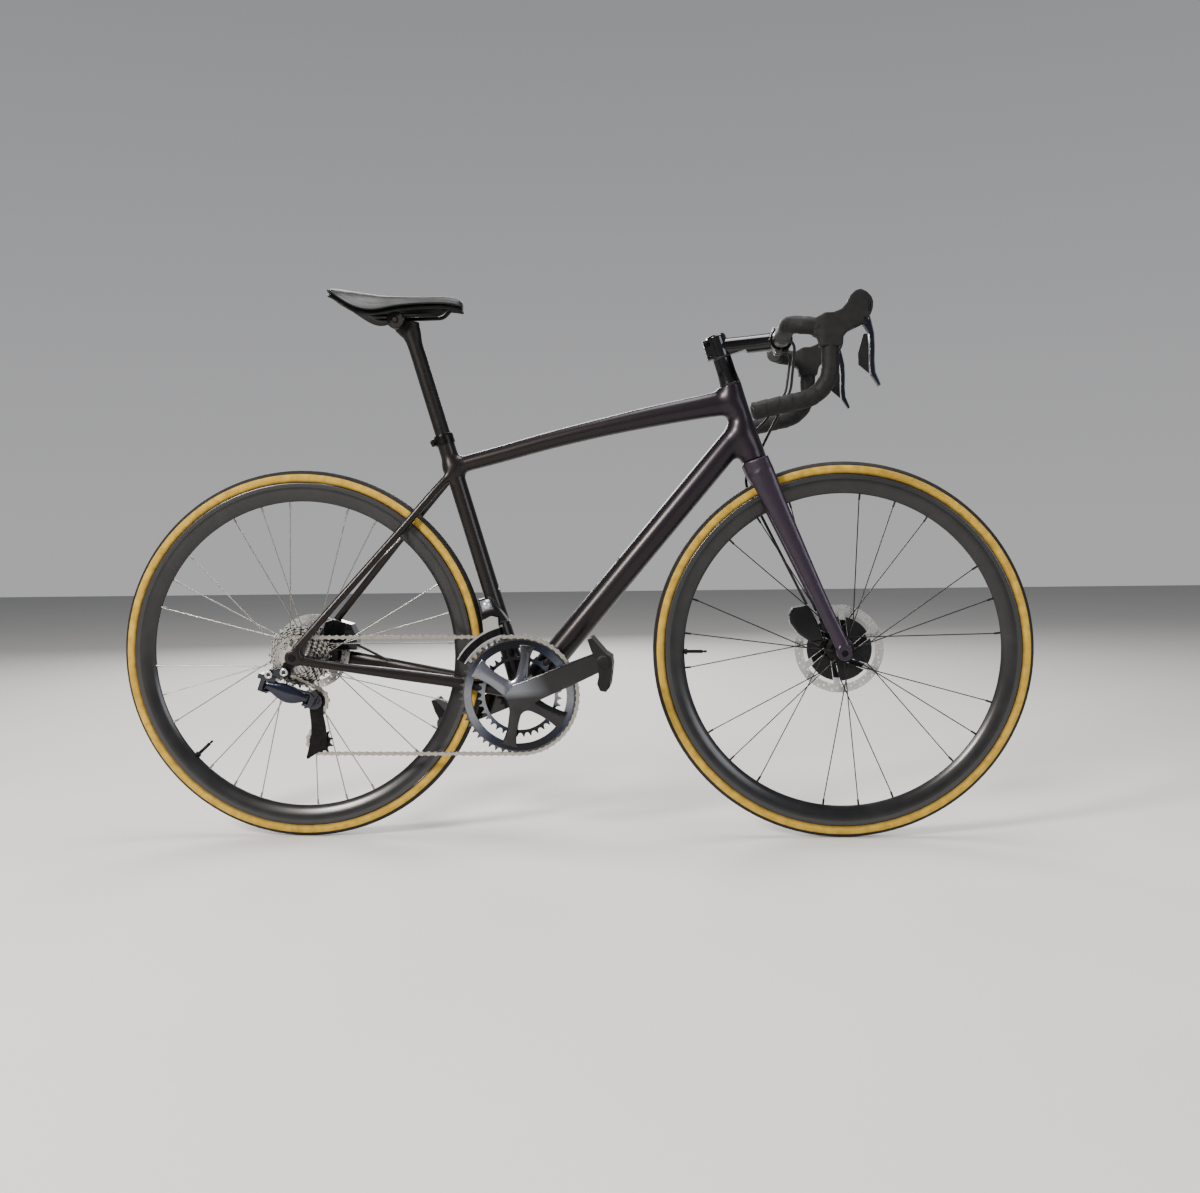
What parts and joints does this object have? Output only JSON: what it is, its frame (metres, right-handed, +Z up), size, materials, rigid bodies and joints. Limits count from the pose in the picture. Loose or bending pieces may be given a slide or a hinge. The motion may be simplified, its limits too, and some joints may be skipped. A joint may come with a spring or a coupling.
{
  "type": "road bicycle",
  "caption": "Road bicycle with drop handlebar, hydraulic disc brakes, deep rims, and front and rear derailleurs.",
  "frame": {"origin": "on the ground, midway between the two hubs, in the middle plane", "axes": "+X forward, +Y to the rider's left, +Z up"},
  "size_m": [1.652, 0.4492, 0.9882],
  "materials": {
    "frame_lacquer": "satin colour-shifting lacquer over carbon fibre, dark brown to purple",
    "black_alloy": "black anodised, satin",
    "navy_alloy": "dark navy gloss with lighter bevels",
    "bright_steel": "bright plated steel",
    "spoke_steel": "dark steel",
    "black_polymer": "moulded, matte",
    "rim_carbon": "satin carbon fibre",
    "tyre_rubber": "black tread with tan side walls",
    "soft_rubber": "matte",
    "tape": "matte cushioned wrap",
    "saddle_skin": "smooth synthetic cover over foam padding"
  },
  "bodies": {
    "frame": {"head_tube": "frame_lacquer", "top_tube": "frame_lacquer", "down_tube": "frame_lacquer", "seat_tube": "frame_lacquer", "bb_shell": "frame_lacquer", "chainstays": "frame_lacquer", "seatstays": "frame_lacquer", "bottle_bosses": "black_alloy", "frame_bearings": "bright_steel", "rear_axle_and_hanger": "bright_steel", "seat_collar": "black_alloy", "front_derailleur": "navy_alloy", "rear_caliper": "navy_alloy", "rear_hose": "soft_rubber", "chain": "bright_steel"},
    "steering_assembly": {"fork": "frame_lacquer", "stem": "black_alloy", "stem_faceplate": "black_alloy", "handlebar": "black_alloy", "bar_tape": "tape", "lever_brackets": "black_polymer", "lever_hoods": "soft_rubber", "front_caliper": "navy_alloy", "front_hose": "soft_rubber", "front_axle": "bright_steel"},
    "front_wheel": {"front_tyre": "tyre_rubber", "front_rim": "rim_carbon", "front_spokes": "spoke_steel", "front_hub": "black_alloy", "front_rotor": "bright_steel"},
    "rear_wheel": {"rear_tyre": "tyre_rubber", "rear_rim": "rim_carbon", "rear_spokes": "spoke_steel", "rear_hub": "black_alloy", "rear_rotor": "bright_steel"},
    "crankset": {"crank_right": "navy_alloy", "crank_left": "black_alloy", "chainring_big": "navy_alloy", "chainring_small": "black_alloy", "pedal_spindles": "bright_steel"},
    "cassette_body": {"cassette": "bright_steel"},
    "guide_pulley_body": {"guide_pulley": "black_polymer"},
    "tension_pulley_body": {"tension_pulley": "black_polymer"},
    "pedal_right_body": {"pedal_right": "black_polymer"},
    "pedal_left_body": {"pedal_left": "black_polymer"},
    "brake_lever_right_body": {"brake_lever_right": "navy_alloy"},
    "brake_lever_left_body": {"brake_lever_left": "navy_alloy"},
    "shift_paddle_right_body": {"shift_paddle_right": "black_polymer"},
    "shift_paddle_left_body": {"shift_paddle_left": "black_polymer"},
    "front_derailleur_cage_body": {"front_derailleur_cage": "black_polymer"},
    "derailleur_base_body": {"derailleur_base": "navy_alloy"},
    "derailleur_link_outer_body": {"derailleur_link_outer": "navy_alloy"},
    "derailleur_link_inner_body": {"derailleur_link_inner": "navy_alloy"},
    "derailleur_knuckle_body": {"derailleur_knuckle": "black_polymer"},
    "derailleur_cage_body": {"derailleur_cage": "black_polymer"},
    "seatpost_body": {"seatpost": "black_alloy"},
    "saddle_clamp_body": {"saddle_clamp": "bright_steel"},
    "saddle_body": {"saddle_rails": "bright_steel", "saddle_shell": "black_polymer", "saddle_cover": "saddle_skin"}
  },
  "joints": [
    {"name": "steering", "type": "hinge", "parent": "frame", "child": "steering_assembly", "pos_m": [0.3363, 0, 0.679], "axis": [-0.2924, 0, 0.9563], "range_deg": [-60, 60], "deforming": ["rear_hose"]},
    {"name": "front_wheel_spin", "type": "hinge", "parent": "steering_assembly", "child": "front_wheel", "pos_m": [0.489, 0, 0.337], "axis": [0, 1, 0], "continuous": true},
    {"name": "rear_wheel_spin", "type": "hinge", "parent": "frame", "child": "rear_wheel", "pos_m": [-0.489, 0, 0.337], "axis": [0, 1, 0], "continuous": true},
    {"name": "crank_spin", "type": "hinge", "parent": "frame", "child": "crankset", "pos_m": [-0.086, 0, 0.265], "axis": [0, 1, 0], "continuous": true, "deforming": ["chain"]},
    {"name": "cassette_spin", "type": "hinge", "parent": "frame", "child": "cassette_body", "pos_m": [-0.489, 0, 0.337], "axis": [0, 1, 0], "continuous": true},
    {"name": "pedal_right_spin", "type": "hinge", "parent": "crankset", "child": "pedal_right_body", "pos_m": [0.07279, -0.112, 0.3324], "axis": [0, 1, 0], "continuous": true},
    {"name": "pedal_left_spin", "type": "hinge", "parent": "crankset", "child": "pedal_left_body", "pos_m": [-0.24479, 0.112, 0.1976], "axis": [0, 1, 0], "continuous": true},
    {"name": "brake_right", "type": "hinge", "parent": "steering_assembly", "child": "brake_lever_right_body", "pos_m": [0.504, -0.205, 0.891], "axis": [0, 1, 0], "range_deg": [0, 15], "stiffness_Nm_per_rad": 1.5},
    {"name": "brake_left", "type": "hinge", "parent": "steering_assembly", "child": "brake_lever_left_body", "pos_m": [0.504, 0.205, 0.891], "axis": [0, 1, 0], "range_deg": [0, 15], "stiffness_Nm_per_rad": 1.5},
    {"name": "shift_right", "type": "hinge", "parent": "brake_lever_right_body", "child": "shift_paddle_right_body", "pos_m": [0.511, -0.205, 0.836], "axis": [0, 0, 1], "range_deg": [-10, 0], "stiffness_Nm_per_rad": 0.3},
    {"name": "shift_left", "type": "hinge", "parent": "brake_lever_left_body", "child": "shift_paddle_left_body", "pos_m": [0.511, 0.205, 0.836], "axis": [0, 0, 1], "range_deg": [0, 10], "stiffness_Nm_per_rad": 0.3},
    {"name": "front_cage_shift", "type": "slide", "parent": "frame", "child": "front_derailleur_cage_body", "axis": [0, 1, 0], "range_m": [0, 0.007]},
    {"name": "derailleur_base_pivot", "type": "hinge", "parent": "frame", "child": "derailleur_base_body", "pos_m": [-0.501, -0.074, 0.313], "axis": [0, 1, 0], "range_deg": [-5, 15], "stiffness_Nm_per_rad": 2},
    {"name": "derailleur_link_outer_pivot", "type": "hinge", "parent": "derailleur_base_body", "child": "derailleur_link_outer_body", "pos_m": [-0.534, -0.08, 0.289], "axis": [0.3202, 0, 0.9473], "range_deg": [-6, 6]},
    {"name": "derailleur_link_inner_pivot", "type": "hinge", "parent": "derailleur_base_body", "child": "derailleur_link_inner_body", "pos_m": [-0.534, -0.064, 0.289], "axis": [0.3202, 0, 0.9473], "range_deg": [-6, 6]},
    {"name": "derailleur_knuckle_pivot", "type": "hinge", "parent": "derailleur_link_outer_body", "child": "derailleur_knuckle_body", "pos_m": [-0.463, -0.08, 0.265], "axis": [0.3202, 0, 0.9473], "range_deg": [-6, 6]},
    {"name": "derailleur_cage_pivot", "type": "hinge", "parent": "derailleur_knuckle_body", "child": "derailleur_cage_body", "pos_m": [-0.457, -0.0473, 0.257], "axis": [0, 1, 0], "range_deg": [-25, 20], "stiffness_Nm_per_rad": 1},
    {"name": "guide_pulley_spin", "type": "hinge", "parent": "derailleur_cage_body", "child": "guide_pulley_body", "pos_m": [-0.457, -0.0473, 0.257], "axis": [0, 1, 0], "continuous": true},
    {"name": "tension_pulley_spin", "type": "hinge", "parent": "derailleur_cage_body", "child": "tension_pulley_body", "pos_m": [-0.4501, -0.0473, 0.18332], "axis": [0, 1, 0], "continuous": true},
    {"name": "seatpost_height", "type": "slide", "parent": "frame", "child": "seatpost_body", "axis": [-0.2807, 0, 0.9598], "range_m": [-0.06, 0.04]},
    {"name": "saddle_tilt", "type": "hinge", "parent": "seatpost_body", "child": "saddle_clamp_body", "pos_m": [-0.3, 0, 0.9375], "axis": [0, 1, 0], "range_deg": [-6, 6]},
    {"name": "saddle_slide", "type": "slide", "parent": "saddle_clamp_body", "child": "saddle_body", "axis": [1, 0, 0], "range_m": [-0.012, 0.012]}
  ],
  "couplings": [
    {"joint": "cassette_spin", "follows": "crank_spin", "ratio": 3.0588},
    {"joint": "guide_pulley_spin", "follows": "crank_spin", "ratio": -4.7273},
    {"joint": "tension_pulley_spin", "follows": "crank_spin", "ratio": 4.7273},
    {"joint": "derailleur_link_inner_pivot", "follows": "derailleur_link_outer_pivot", "ratio": 1},
    {"joint": "derailleur_knuckle_pivot", "follows": "derailleur_link_outer_pivot", "ratio": -1}
  ]
}
